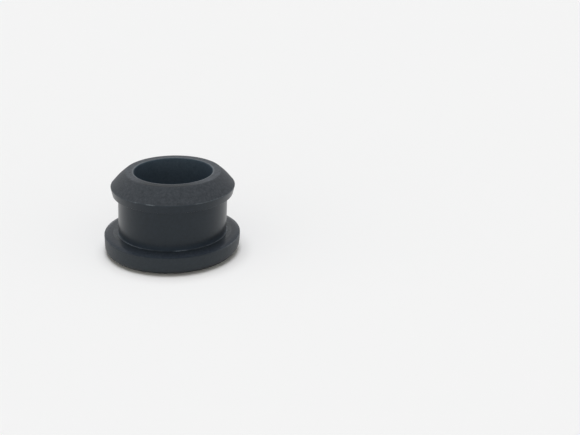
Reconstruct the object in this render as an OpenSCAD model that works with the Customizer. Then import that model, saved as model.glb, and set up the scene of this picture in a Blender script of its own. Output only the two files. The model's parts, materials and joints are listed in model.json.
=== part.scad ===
// Snap-in rubber grommet: a flange, a plain neck and a tapered head round one straight bore.
// Moulded as one piece and drawn as one turned profile, standing on the flange with the head up.
// The origin lies on the bore's axis at the lowest face, and +Z runs along the bore to the head.

/* [Flange] */
// Outer diameter of the flange
flange_d = 20; // [18.6:0.1:26]
// Height of the flange's side wall, from where the crowned outer face would meet it
flange_h = 2.3; // [1.2:0.05:4]
// How much higher the flange's inner face is at the neck than at its outer edge
flange_taper = 0.25; // [0:0.05:0.6]
// How far the crowned outer face falls away towards the edge of the flange
crown_fall = 0.5; // [0.2:0.05:1]
// Outer diameter of the flat ring round the bore that the grommet stands on
seat_d = 13.4; // [12.2:0.1:16]
// Radius of the flange's outer edge, on the side that the grommet stands on
flange_edge_r = 0.6; // [0.2:0.05:1]

/* [Neck] */
// Diameter of the neck, which fills the hole in the panel
neck_d = 15.8; // [13:0.1:16.4]
// Clear width of the groove at the neck, between the flange and the head
groove_w = 6.2; // [3:0.1:12]
// Radius of the fillets where the neck runs into the flange and the head
root_r = 0.2; // [0.1:0.05:0.6]

/* [Head] */
// Largest diameter of the head, at the upper edge of its rim
head_d = 18; // [17.4:0.1:22]
// Height of the rim's band
rim_h = 0.95; // [0.4:0.05:2]
// How much smaller the lower edge of the rim's band is, measured on the radius
rim_draft = 0.2; // [0:0.05:0.4]
// Height of the sloping nose above the rim
nose_h = 2.1; // [1:0.1:5]
// Outer diameter of the flat land round the bore at the top of the nose
land_d = 13.8; // [12.2:0.1:16.4]

/* [Bore] */
// Diameter of the bore
bore_d = 11.4; // [8:0.1:12]

/* [Hidden] */
$fn = 128;

// Straight chords that stand for each curved stretch of the profile
CROWN_STEPS = 10;
FILLET_STEPS = 6;

flange_r = flange_d / 2;
seat_r = seat_d / 2;
neck_r = neck_d / 2;
head_r = head_d / 2;
land_r = land_d / 2;
bore_r = bore_d / 2;

// Heights of the faces above the one that the grommet stands on
flange_top = crown_fall + flange_h;
neck_bottom = flange_top + flange_taper;
head_bottom = neck_bottom + groove_w;
rim_top = head_bottom + rim_h;
nose_top = rim_top + nose_h;

// The crown is an arc that leaves the flat seat level and would meet the side wall at crown_fall
crown_run = flange_r - seat_r;
crown_r = (crown_run * crown_run + crown_fall * crown_fall) / (2 * crown_fall);

// The rounded edge touches both the crown's arc and the side wall
edge_x = flange_r - flange_edge_r;
edge_turn = asin((edge_x - seat_r) / (crown_r - flange_edge_r));
edge_z = crown_r - (crown_r - flange_edge_r) * cos(edge_turn);

// The lower fillet touches the neck and the flange's tapered inner face
root_x = neck_r + root_r;
taper_angle = atan(flange_taper / (flange_r - neck_r));
root_z = neck_bottom - root_r * tan(taper_angle) + root_r / cos(taper_angle);

// Points along an arc of radius r about [cx, cz], from one angle to another
function arc(cx, cz, r, from, to, steps) = [
    for (i = [0:steps])
        let (a = from + (to - from) * i / steps)
            [cx + r * cos(a), cz + r * sin(a)]
];

// The section on one side of the axis, from the bore's lower mouth outwards and up
section = concat(
    [[bore_r, 0]],
    arc(seat_r, crown_r, crown_r, -90, edge_turn - 90, CROWN_STEPS),
    arc(edge_x, edge_z, flange_edge_r, edge_turn - 90, 0, FILLET_STEPS),
    [[flange_r, flange_top]],
    arc(root_x, root_z, root_r, 270 - taper_angle, 180, FILLET_STEPS),
    arc(root_x, head_bottom - root_r, root_r, 180, 90, FILLET_STEPS),
    [
        [head_r - rim_draft, head_bottom],
        [head_r, rim_top],
        [land_r, nose_top],
        [bore_r, nose_top]
    ]
);

module grommet() {
    color("#34383d")
        rotate_extrude()
            polygon(section);
}

grommet();
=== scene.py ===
"""A snap-in rubber grommet, standing on its flange with the head up, in plain soft light."""

import json
import math

import bpy
import numpy as np
from mathutils import Matrix, Vector


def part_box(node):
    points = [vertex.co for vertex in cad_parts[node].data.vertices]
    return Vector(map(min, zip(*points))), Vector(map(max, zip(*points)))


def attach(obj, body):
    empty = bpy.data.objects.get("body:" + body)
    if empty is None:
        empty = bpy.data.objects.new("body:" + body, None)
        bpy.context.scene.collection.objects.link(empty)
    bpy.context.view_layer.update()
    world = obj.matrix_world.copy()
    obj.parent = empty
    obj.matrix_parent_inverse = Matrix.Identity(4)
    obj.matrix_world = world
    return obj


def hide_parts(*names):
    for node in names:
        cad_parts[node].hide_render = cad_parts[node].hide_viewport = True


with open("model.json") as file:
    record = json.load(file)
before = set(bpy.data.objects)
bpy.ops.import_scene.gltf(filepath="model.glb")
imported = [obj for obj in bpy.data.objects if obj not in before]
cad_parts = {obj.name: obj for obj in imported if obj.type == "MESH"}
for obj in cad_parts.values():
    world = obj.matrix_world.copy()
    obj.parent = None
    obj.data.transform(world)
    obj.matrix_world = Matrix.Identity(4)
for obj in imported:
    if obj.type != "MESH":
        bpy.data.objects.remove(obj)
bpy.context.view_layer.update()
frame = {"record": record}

MM = 0.001


def srgb(hex_colour):
    """A colour written as sRGB hex, as the linear RGBA that shaders take."""
    parts = [int(hex_colour[i:i + 2], 16) / 255 for i in (1, 3, 5)]
    return [c / 12.92 if c <= 0.04045 else ((c + 0.055) / 1.055) ** 2.4 for c in parts] + [1.0]


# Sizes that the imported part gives, in metres
node_low, node_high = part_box("grommet")
FLANGE_R = (node_high.x - node_low.x) / 2
NOSE_TOP = node_high.z
BORE = next(m for m in frame["record"]["mounts"] if m["name"] == "bore")
BORE_R = BORE["dims"]["r_mm"] * MM

# The other sizes of the turned section. Those of the crown, the flange's side and edge, the neck
# and its fillets, the rim and the land differ from the part's by up to 0.4 mm, to follow the
# pictured grommet's outline and the light on it
FLANGE_H = 2.6 * MM
FLANGE_TAPER = 0.25 * MM
CROWN_FALL = 0.2 * MM
SEAT_R = 6.7 * MM
FLANGE_EDGE_R = 1.0 * MM
NECK_R = 7.95 * MM
ROOT_R = 0.06 * MM
HEAD_R = 9.0 * MM
RIM_H = 1.15 * MM
RIM_DRAFT = 0.25 * MM
NOSE_H = 2.1 * MM
LAND_R = 6.95 * MM

# The nose bulges a little between the rim and the land
NOSE_BULGE = 0.08 * MM
NOSE_BULGE_R = 8 * MM

FLANGE_TOP = CROWN_FALL + FLANGE_H
NECK_BOTTOM = FLANGE_TOP + FLANGE_TAPER
RIM_TOP = NOSE_TOP - NOSE_H
HEAD_BOTTOM = RIM_TOP - RIM_H

# The flange's inner face is nearly flat and falls to the edge over its last stretch
FALL_RUN = 0.5 * MM
FALL_DROP = 0.1 * MM
FALL_EDGE_R = 1.2 * MM
FALL_R = FLANGE_R - FALL_RUN
FALL_Z = NECK_BOTTOM - FALL_DROP

# How crisp or soft the moulded edges are, as radii
CRISP_EDGE = 0.05 * MM
SOFT_EDGE = 0.6 * MM
MOUTH_EDGE = 0.15 * MM
CROWN_EDGE = 1.5 * MM

# Widths of the narrow rings that carry painted highlights and reflections
SEAM_WIDTH = 0.11 * MM
COLLAR_WIDTH = 0.6 * MM
EDGE_WIDTH = 0.1 * MM
MOUTH_LINE = 0.1 * MM

# The soft neck and head lean a little to +X above the flange, as those of the pictured one do
LEAN = math.tan(math.radians(2.08))

# On that side the flange's lower edge is pulled in and sits closer to the table. These are the
# factors of the two moves, which fade out along the crown, up the side and round the flange
TUCK = 0.75 * MM
PRESS = 0.12 * MM

# Steps round the axis and along the section
TURN_STEPS = 288
ROW = 0.3 * MM
ARC_STEP = math.radians(12)
MIN_ARC_STEPS = 3
CROWN_CHORDS = 5

# Rows this near to a rounded edge keep its shading off the faces beside it, on stretches that are
# long enough to take them
SUPPORT = 0.02 * MM
SUPPORTED = 4 * SUPPORT

# An eroded mould prints craters of about 0.05 mm in rubber. They are finer than a pixel of the
# photograph, so the grain is drawn four times and the mottle eight times as coarse, to show
GRAIN_WIDTH = 0.22 * MM
CLOUD_WIDTH = 0.4 * MM
CLOUD_SPREAD = (0.3, 0.7)
GLOSS_MOTTLE = 0.06

# How deep the grain is that each kind of mould face leaves
ERODED_GRAIN = 0.03 * MM
PIN_GRAIN = 0.012 * MM
STEEL_GRAIN = 0.008 * MM
SATIN_GRAIN = 0.006 * MM
POLISHED_GRAIN = 0.001 * MM

# The refractive index of black rubber, and the cold cast of what it mirrors
RUBBER_IOR = 1.52
COLD_GLOSS = (0.84, 0.93, 1.0, 1.0)

# The Mix node's sockets when it mixes colours
MIX_FACTOR, MIX_FROM, MIX_TO = 0, 6, 7
MIXED = 2

# Painted light at the neck's foot: a paler colour that lifts the shade in the corner
FOOT_H = 1.0 * MM
PAINTED_FOOT_LIGHT_COLOUR = srgb("#262f39")

# How strong the painted highlights and shade are round the axis, as (degrees from +X to +Y,
# strength)
SEAM_GLEAM = (
    (-180, 0.2), (-150, 0.3), (-138, 0.6), (-122, 0.7), (-114, 0.25), (-104, 0.2), (-84, 0.0),
    (-80, 0.9), (-71, 0.9), (-66, 0.1), (-55, 0.3), (-20, 0.4), (10, 0.8), (40, 0.3), (180, 0.3),
)
COLLAR_GLEAM = (
    (-180, 0.3), (-175, 0.8), (-160, 0.8), (-148, 0.15), (-30, 0.15), (-15, 0.8), (5, 0.8),
    (15, 0.2), (180, 0.3),
)
EDGE_GLEAM = (
    (-180, 0.9), (-155, 0.8), (-138, 0.2), (-60, 0.1), (-38, 0.4), (-25, 1.0), (180, 0.8),
)
RIM_GLEAM = (
    (-180, 0.3), (-128, 0.3), (-124, 0.5), (-119, 0.2), (-117, 0.9), (-114, 0.1), (-107, 0.1),
    (-105, 1.0), (-99, 1.0), (-97, 0.0), (-66, 0.0), (-60, 0.5), (-27, 0.6), (0, 0.3), (180, 0.3),
)
# Painted light on the land: pale at the sides, with painted shade in front
LAND_GLEAM = ((-180, 1.0), (-140, 1.0), (-115, 0.0), (-65, 0.0), (-40, 1.0), (180, 1.0))

# The pale sheet and the surroundings that the camera sees
BACKGROUND = srgb("#f3f3f3")
FLOOR_COLOUR = srgb("#f3f3f3")
FLOOR_HALF = 2.0

# What the gloss mirrors: a level, and how it changes along X, Y and Z
SURROUND = 0.76
SURROUND_SLOPE = (-0.11, 0.15, 0.44)

# What lights matt surfaces: a fill from all round, a little stronger in front, and a strip at the
# horizon, which is strongest in front, ends behind the grommet and fades upwards
FILL = 0.22
FILL_SLOPE = (0, -0.1, 0)
FILL_COLOUR = srgb("#fffdf5")
HORIZON = 1.2
HORIZON_SLOPE = -2.6
HORIZON_FALL = 4.0

# One wide soft lamp overhead. A strength of pi would light a level face to its own colour alone
SOFTBOX = 0.7 * math.pi
SOFTBOX_COLOUR = (0.99, 1.0, 1.03)
SOFTBOX_WIDTH = math.radians(34)
SOFTBOX_TILT = (math.radians(-3), 0, 0)

# The camera that took the photograph, fitted to the grommet's edges
LENS = 56
SENSOR_WIDTH = 36
NEAREST, FARTHEST = 0.01, 10
CAMERA_PLACE = Vector((16.290, -123.634, 56.177)) * MM
CAMERA_AIM = Vector((17.445, 1.722, 4.573)) * MM
CAMERA_ROLL = math.radians(1.386)


def rounded_section(corners):
    """Points along a closed section whose corners, (r, z, edge radius, zone), are rounded.

    Returns the points and the zone of each stretch between a point and the next."""
    points, zones = [], []
    count = len(corners)
    tangents = []
    for i, (r, z, radius, _) in enumerate(corners):
        here = Vector((r, z))
        before = (Vector(corners[i - 1][:2]) - here).normalized()
        after = (Vector(corners[(i + 1) % count][:2]) - here).normalized()
        half = before.angle(after) / 2
        reach = radius / math.tan(half)
        centre = here + (before + after).normalized() * (radius / math.sin(half))
        tangents.append((here + before * reach, here + after * reach, centre, math.pi - 2 * half))
    for i, (_, _, radius, zone) in enumerate(corners):
        start, end, centre, turn = tangents[i]
        steps = max(MIN_ARC_STEPS, math.ceil(turn / ARC_STEP)) if radius else 1
        from_centre = start - centre
        sign = 1 if from_centre.x * (end - centre).y - from_centre.y * (end - centre).x > 0 else -1
        for k in range(steps):
            spin = Matrix.Rotation(sign * turn * k / steps, 2)
            points.append(centre + spin @ from_centre)
            zones.append(corners[i - 1][3] if k < steps // 2 else zone)
        following = tangents[(i + 1) % count][0]
        length = (following - end).length
        rows = max(1, math.ceil(length / ROW))
        places = [k / rows for k in range(1, rows)]
        if length > SUPPORTED:
            places = [SUPPORT / length] + places + [1 - SUPPORT / length]
        if radius:
            places = [0] + places
        for place in places:
            points.append(end.lerp(following, place))
            zones.append(zone)
    return np.array(points), zones


def crown_corners():
    """The crowned outer face, as short chords of the arc that leaves the seat level."""
    run = FLANGE_R - SEAT_R
    crown_r = (run ** 2 + CROWN_FALL ** 2) / (2 * CROWN_FALL)
    reach = math.asin((run - FLANGE_EDGE_R) / crown_r)
    found = []
    for k in range(1, CROWN_CHORDS):
        turn = reach * k / CROWN_CHORDS
        r = SEAT_R + crown_r * math.sin(turn)
        z = crown_r * (1 - math.cos(turn))
        found.append((r, z, CROWN_EDGE, "flange"))
    return found


def inner_face_z(r):
    """The height of the flange's inner face at a radius: nearly flat, then falling to the edge."""
    if r > FALL_R:
        return FLANGE_TOP + (FALL_Z - FLANGE_TOP) * (FLANGE_R - r) / (FLANGE_R - FALL_R)
    return FALL_Z + (NECK_BOTTOM - FALL_Z) * (FALL_R - r) / (FALL_R - NECK_R)


def grommet_section():
    """The corners of the turned section, from the bore's lower mouth outwards and up."""
    middle_r = (HEAD_R + LAND_R) / 2
    middle_z = (RIM_TOP + NOSE_TOP) / 2
    seam_r = NECK_R + ROOT_R + SEAM_WIDTH
    collar_r = seam_r + COLLAR_WIDTH
    edge_r = FLANGE_R - EDGE_WIDTH
    rim_edge_z = RIM_TOP + EDGE_WIDTH * NOSE_H / (HEAD_R - LAND_R)
    return [
        (BORE_R, 0, MOUTH_EDGE, "flange"),
        (SEAT_R, 0, CROWN_EDGE, "flange"),
        *crown_corners(),
        (FLANGE_R, CROWN_FALL, FLANGE_EDGE_R, "flange"),
        (FLANGE_R, FLANGE_TOP - EDGE_WIDTH, 0, "edge"),
        (FLANGE_R, FLANGE_TOP, CRISP_EDGE, "edge"),
        (edge_r, inner_face_z(edge_r), 0, "inner_face"),
        (FALL_R, FALL_Z, FALL_EDGE_R, "inner_face"),
        (collar_r, inner_face_z(collar_r), 0, "collar"),
        (seam_r, inner_face_z(seam_r), 0, "seam"),
        (NECK_R, NECK_BOTTOM, ROOT_R, "groove"),
        (NECK_R, HEAD_BOTTOM, ROOT_R, "groove"),
        (HEAD_R - RIM_DRAFT, HEAD_BOTTOM, CRISP_EDGE, "groove"),
        (HEAD_R, RIM_TOP, CRISP_EDGE, "rim_edge"),
        (HEAD_R - EDGE_WIDTH, rim_edge_z, 0, "nose"),
        (middle_r + NOSE_BULGE, middle_z + NOSE_BULGE, NOSE_BULGE_R, "nose"),
        (LAND_R, NOSE_TOP, SOFT_EDGE, "land"),
        (BORE_R + MOUTH_EDGE + MOUTH_LINE, NOSE_TOP, 0, "mouth"),
        (BORE_R, NOSE_TOP, MOUTH_EDGE, "bore"),
    ]


def settled(r, z, turn):
    """Where a point of the turned section lies on the grommet, which leans and is tucked in."""
    outer = max(0, (r - SEAT_R) / (FLANGE_R - SEAT_R)) ** 2
    under = max(0, 1 - z / FLANGE_TOP)
    side = (0.5 + 0.5 * math.cos(turn)) ** 2 * outer * under
    width = r - TUCK * side * under ** 2
    shift = LEAN * max(0, z - FLANGE_TOP)
    return width * math.cos(turn) + shift, width * math.sin(turn), z - PRESS * side


def lathe(name, section, zones, materials):
    """A closed mesh turned about Z, with one material for each zone of the section."""
    rows = len(section)
    verts, faces, slots = [], [], []
    names = list(materials)
    for j in range(TURN_STEPS):
        turn = 2 * math.pi * j / TURN_STEPS
        verts.extend(settled(r, z, turn) for r, z in section)
    for j in range(TURN_STEPS):
        here = j * rows
        there = (j + 1) % TURN_STEPS * rows
        for i in range(rows):
            k = (i + 1) % rows
            faces.append((here + i, there + i, there + k, here + k))
            slots.append(names.index(zones[i]))
    mesh = bpy.data.meshes.new(name)
    mesh.from_pydata(verts, [], faces)
    for zone in names:
        mesh.materials.append(materials[zone])
    mesh.polygons.foreach_set("material_index", slots)
    mesh.polygons.foreach_set("use_smooth", [True] * len(faces))
    mesh.validate()
    mesh.update()
    piece = bpy.data.objects.new(name, mesh)
    bpy.context.scene.collection.objects.link(piece)
    return piece


def node(tree, kind, inputs=None, **settings):
    """Adds a node, with settings as its properties and inputs as values or sockets to link."""
    made = tree.nodes.new(kind)
    for key, value in settings.items():
        setattr(made, key, value)
    for key, value in (inputs or {}).items():
        socket = made.inputs[key]
        if isinstance(value, bpy.types.NodeSocket):
            tree.links.new(value, socket)
        else:
            socket.default_value = value
    return made


def new_material(name):
    """An empty node material and its tree."""
    material = bpy.data.materials.new(name)
    material.use_nodes = True
    material.node_tree.nodes.clear()
    return material, material.node_tree


def round_the_axis(tree, place, stops):
    """A factor that changes round the axis, from stops of (degrees from +X towards +Y, value)."""
    turn = node(tree, "ShaderNodeTexGradient", {"Vector": place}, gradient_type="RADIAL")
    ramp = node(tree, "ShaderNodeValToRGB", {"Fac": turn.outputs["Fac"]})
    points = ramp.color_ramp.elements
    while len(points) < len(stops):
        points.new(0.5)
    for point, (degrees, value) in zip(points, stops):
        point.position = degrees / 360 + 0.5
        point.color = (value, value, value, 1.0)
    return ramp.outputs["Color"]


def painted_foot_light(tree, place, colour):
    """Painted light in the corner at the neck's foot, lifting its shade and fading upwards."""
    height = node(tree, "ShaderNodeSeparateXYZ", {"Vector": place}).outputs["Z"]
    fade = node(tree, "ShaderNodeMapRange", {
        "Value": height,
        "From Min": NECK_BOTTOM,
        "From Max": NECK_BOTTOM + FOOT_H,
        "To Min": 1.0,
        "To Max": 0.0,
    }, interpolation_type="SMOOTHSTEP")
    brightened = {MIX_FACTOR: fade.outputs["Result"], MIX_FROM: colour, MIX_TO: PAINTED_FOOT_LIGHT_COLOUR}
    return node(tree, "ShaderNodeMix", brightened, data_type="RGBA").outputs[MIXED]


def moulded_rubber(name, dark, pale, roughness, grain_depth, level=0.5, gleam=None, foot=False):
    """Carbon-black rubber, mottled between two colours; level is how much it mirrors."""
    material, tree = new_material(name)
    place = node(tree, "ShaderNodeTexCoord").outputs["Object"]
    cloud = node(tree, "ShaderNodeTexNoise", {
        "Vector": place,
        "Scale": 1 / CLOUD_WIDTH,
        "Detail": 5.0,
        "Roughness": 0.75,
    })
    grain = node(tree, "ShaderNodeTexNoise", {
        "Vector": place,
        "Scale": 1 / GRAIN_WIDTH,
        "Detail": 2.0,
    })
    spread = node(tree, "ShaderNodeMapRange", {
        "Value": cloud.outputs["Fac"],
        "From Min": CLOUD_SPREAD[0],
        "From Max": CLOUD_SPREAD[1],
    })
    mottle = {MIX_FACTOR: spread.outputs["Result"], MIX_FROM: srgb(dark), MIX_TO: srgb(pale)}
    colour = node(tree, "ShaderNodeMix", mottle, data_type="RGBA").outputs[MIXED]
    # Painted highlights and shade that change round the axis
    if gleam:
        shown = round_the_axis(tree, place, gleam)
        lined = {MIX_FACTOR: shown, MIX_FROM: srgb(dark), MIX_TO: colour}
        colour = node(tree, "ShaderNodeMix", lined, data_type="RGBA").outputs[MIXED]
    # Painted light that lifts the shade at the neck's foot
    if foot:
        colour = painted_foot_light(tree, place, colour)
    rough = node(tree, "ShaderNodeMapRange", {
        "Value": cloud.outputs["Fac"],
        "From Min": CLOUD_SPREAD[0],
        "From Max": CLOUD_SPREAD[1],
        "To Min": roughness * (1 - GLOSS_MOTTLE),
        "To Max": roughness * (1 + GLOSS_MOTTLE),
    })
    bump = node(tree, "ShaderNodeBump", {
        "Height": grain.outputs["Fac"],
        "Strength": 1.0,
        "Distance": grain_depth,
    })
    shader = node(tree, "ShaderNodeBsdfPrincipled", {
        "Base Color": colour,
        "Roughness": rough.outputs["Result"],
        "Normal": bump.outputs["Normal"],
        "IOR": RUBBER_IOR,
        "Specular IOR Level": level,
        "Specular Tint": COLD_GLOSS,
    })
    node(tree, "ShaderNodeOutputMaterial", {"Surface": shader.outputs["BSDF"]})
    return material


def rubber_finishes():
    """One rubber compound, with a finish for each face of the mould that shaped it, and painted
    light, shade and highlights on some of them.
    """
    return {
        # From a spark-eroded mould face: dull and grainy, with a soft grey mottle
        "nose": moulded_rubber(
            "eroded_mould_rubber", "#101317", "#36393e",
            roughness=0.6, grain_depth=ERODED_GRAIN, level=0.5),
        # Eroded as well, on the flange's side and outer face: darker, and a little less dull
        "flange": moulded_rubber(
            "flange_side_rubber", "#0d1217", "#1c2228",
            roughness=0.5, grain_depth=ERODED_GRAIN, level=0.47),
        # From a satin mould face: an even grey-blue, with a weak, soft reflection of the neck
        "inner_face": moulded_rubber(
            "inner_face_rubber", "#262c34", "#353b43",
            roughness=0.2, grain_depth=SATIN_GRAIN, level=0.11),
        # From polished steel, on the neck, under the head and on the rim's band: near black, with a
        # highlight down each side, and painted light that lifts the shade at the neck's foot
        "groove": moulded_rubber(
            "polished_mould_rubber", "#0a0f15", "#131a22",
            roughness=0.29, grain_depth=POLISHED_GRAIN, level=0.4, foot=True),
        # A painted highlight round the neck's foot: a thin, broken, pale line for the glints at its
        # root
        "seam": moulded_rubber(
            "seam_painted_glint_rubber", "#1e252c", "#8d98a5",
            roughness=0.4, grain_depth=STEEL_GRAIN, level=0.25, gleam=SEAM_GLEAM),
        # A painted highlight on the flange's upper edge: a grey line, stronger at the sides
        "edge": moulded_rubber(
            "edge_painted_highlight_rubber", "#181e25", "#54595e",
            roughness=0.5, grain_depth=STEEL_GRAIN, level=0.3, gleam=EDGE_GLEAM),
        # The satin face next to the neck, made paler at the sides by a painted reflection
        "collar": moulded_rubber(
            "collar_painted_reflection_rubber", "#262d34", "#5c6268",
            roughness=0.2, grain_depth=SATIN_GRAIN, level=0.12, gleam=COLLAR_GLEAM),
        # Painted glints on the rim's upper edge: a dark line with a few short pale dashes
        "rim_edge": moulded_rubber(
            "rim_painted_glint_rubber", "#161c22", "#585e63",
            roughness=0.5, grain_depth=STEEL_GRAIN, level=0.5, gleam=RIM_GLEAM),
        # Eroded like the nose, with painted light and shade: the palest face at the sides, and dark
        # in front
        "land": moulded_rubber(
            "land_painted_light_rubber", "#0a0d11", "#4a4e54",
            roughness=0.6, grain_depth=ERODED_GRAIN, level=0.52, gleam=LAND_GLEAM),
        # A painted highlight at the bore's lip: a fine grey line round the mouth
        "mouth": moulded_rubber(
            "mouth_painted_highlight_rubber", "#373d43", "#52585d",
            roughness=0.5, grain_depth=STEEL_GRAIN),
        # From a turned core pin: matt, and painted a paler bluish as painted light, so that the
        # bore's shade isn't plain black
        "bore": moulded_rubber(
            "bore_painted_light_rubber", "#2e3b47", "#3f4c58",
            roughness=0.6, grain_depth=PIN_GRAIN),
    }


def paper_floor():
    """A wide pale sheet under the grommet, which takes its shadow."""
    material, tree = new_material("matt_paper")
    shader = node(tree, "ShaderNodeBsdfDiffuse", {"Color": FLOOR_COLOUR})
    node(tree, "ShaderNodeOutputMaterial", {"Surface": shader.outputs["BSDF"]})
    corners = [
        (-FLOOR_HALF, -FLOOR_HALF, 0),
        (FLOOR_HALF, -FLOOR_HALF, 0),
        (FLOOR_HALF, FLOOR_HALF, 0),
        (-FLOOR_HALF, FLOOR_HALF, 0),
    ]
    mesh = bpy.data.meshes.new("floor")
    mesh.from_pydata(corners, [], [(0, 1, 2, 3)])
    mesh.materials.append(material)
    floor = bpy.data.objects.new("floor", mesh)
    bpy.context.scene.collection.objects.link(floor)


def fill_strength(tree, towards):
    """The fill's strength in a direction: an even part, a slope and the strip by the horizon."""
    lean = node(tree, "ShaderNodeVectorMath", {0: towards, 1: FILL_SLOPE}, operation="DOT_PRODUCT")
    parts = node(tree, "ShaderNodeSeparateXYZ", {"Vector": towards})
    below = node(tree, "ShaderNodeMath", {0: 1.0, 1: parts.outputs["Z"]},
                 operation="SUBTRACT", use_clamp=True)
    band = node(tree, "ShaderNodeMath", {0: below.outputs[0], 1: HORIZON_FALL}, operation="POWER")
    front = node(tree, "ShaderNodeMath", {0: parts.outputs["Y"], 1: HORIZON_SLOPE, 2: HORIZON},
                 operation="MULTIPLY_ADD")
    strip = node(tree, "ShaderNodeMath", {0: front.outputs[0], 1: 0.0}, operation="MAXIMUM")
    low = node(tree, "ShaderNodeMath", {0: band.outputs[0], 1: strip.outputs[0], 2: FILL},
               operation="MULTIPLY_ADD")
    return node(tree, "ShaderNodeMath", {0: lean.outputs["Value"], 1: low.outputs[0]},
                operation="ADD").outputs[0]


def surroundings():
    """The world: one look for the camera, one for the gloss and one that lights matt surfaces."""
    world = bpy.data.worlds.new("studio")
    bpy.context.scene.world = world
    world.use_nodes = True
    world.cycles.sampling_method = "NONE"
    tree = world.node_tree
    tree.nodes.clear()
    path = node(tree, "ShaderNodeLightPath")
    towards = node(tree, "ShaderNodeTexCoord").outputs["Generated"]
    slope = node(tree, "ShaderNodeVectorMath", {0: towards, 1: SURROUND_SLOPE},
                 operation="DOT_PRODUCT")
    level = node(tree, "ShaderNodeMath", {0: slope.outputs["Value"], 1: SURROUND}, operation="ADD")
    mirrored = node(tree, "ShaderNodeBackground",
                    {"Color": BACKGROUND, "Strength": level.outputs[0]})
    seen = node(tree, "ShaderNodeBackground", {"Color": BACKGROUND, "Strength": 1.0})
    fill = node(tree, "ShaderNodeBackground",
                {"Color": FILL_COLOUR, "Strength": fill_strength(tree, towards)})
    lit = node(tree, "ShaderNodeMixShader",
               {0: path.outputs["Is Glossy Ray"], 1: fill.outputs[0], 2: mirrored.outputs[0]})
    mixed = node(tree, "ShaderNodeMixShader",
                 {0: path.outputs["Is Camera Ray"], 1: lit.outputs[0], 2: seen.outputs[0]})
    node(tree, "ShaderNodeOutputWorld", {"Surface": mixed.outputs[0]})


def overhead_softbox():
    """A wide soft lamp overhead, which the gloss doesn't mirror."""
    lamp = bpy.data.lights.new("softbox", "SUN")
    lamp.angle = SOFTBOX_WIDTH
    lamp.energy = SOFTBOX
    lamp.color = SOFTBOX_COLOUR
    holder = bpy.data.objects.new("softbox", lamp)
    holder.rotation_euler = SOFTBOX_TILT
    holder.visible_glossy = False
    bpy.context.scene.collection.objects.link(holder)


def photo_camera():
    """The photograph's own viewpoint, looking down at 22 degrees."""
    camera = bpy.data.cameras.new("camera")
    camera.lens = LENS
    camera.sensor_width = SENSOR_WIDTH
    camera.clip_start = NEAREST
    camera.clip_end = FARTHEST
    holder = bpy.data.objects.new("camera", camera)
    turn = (CAMERA_AIM - CAMERA_PLACE).to_track_quat("-Z", "Y").to_matrix().to_4x4()
    roll = Matrix.Rotation(CAMERA_ROLL, 4, "Z")
    holder.matrix_world = Matrix.Translation(CAMERA_PLACE) @ turn @ roll
    bpy.context.scene.collection.objects.link(holder)
    bpy.context.scene.camera = holder


bpy.context.scene.view_settings.view_transform = "Standard"
photo_camera()
paper_floor()
surroundings()
overhead_softbox()

section, zones = rounded_section(grommet_section())
grommet = lathe("moulded_grommet", section, zones, rubber_finishes())
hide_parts("grommet")
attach(grommet, "root")
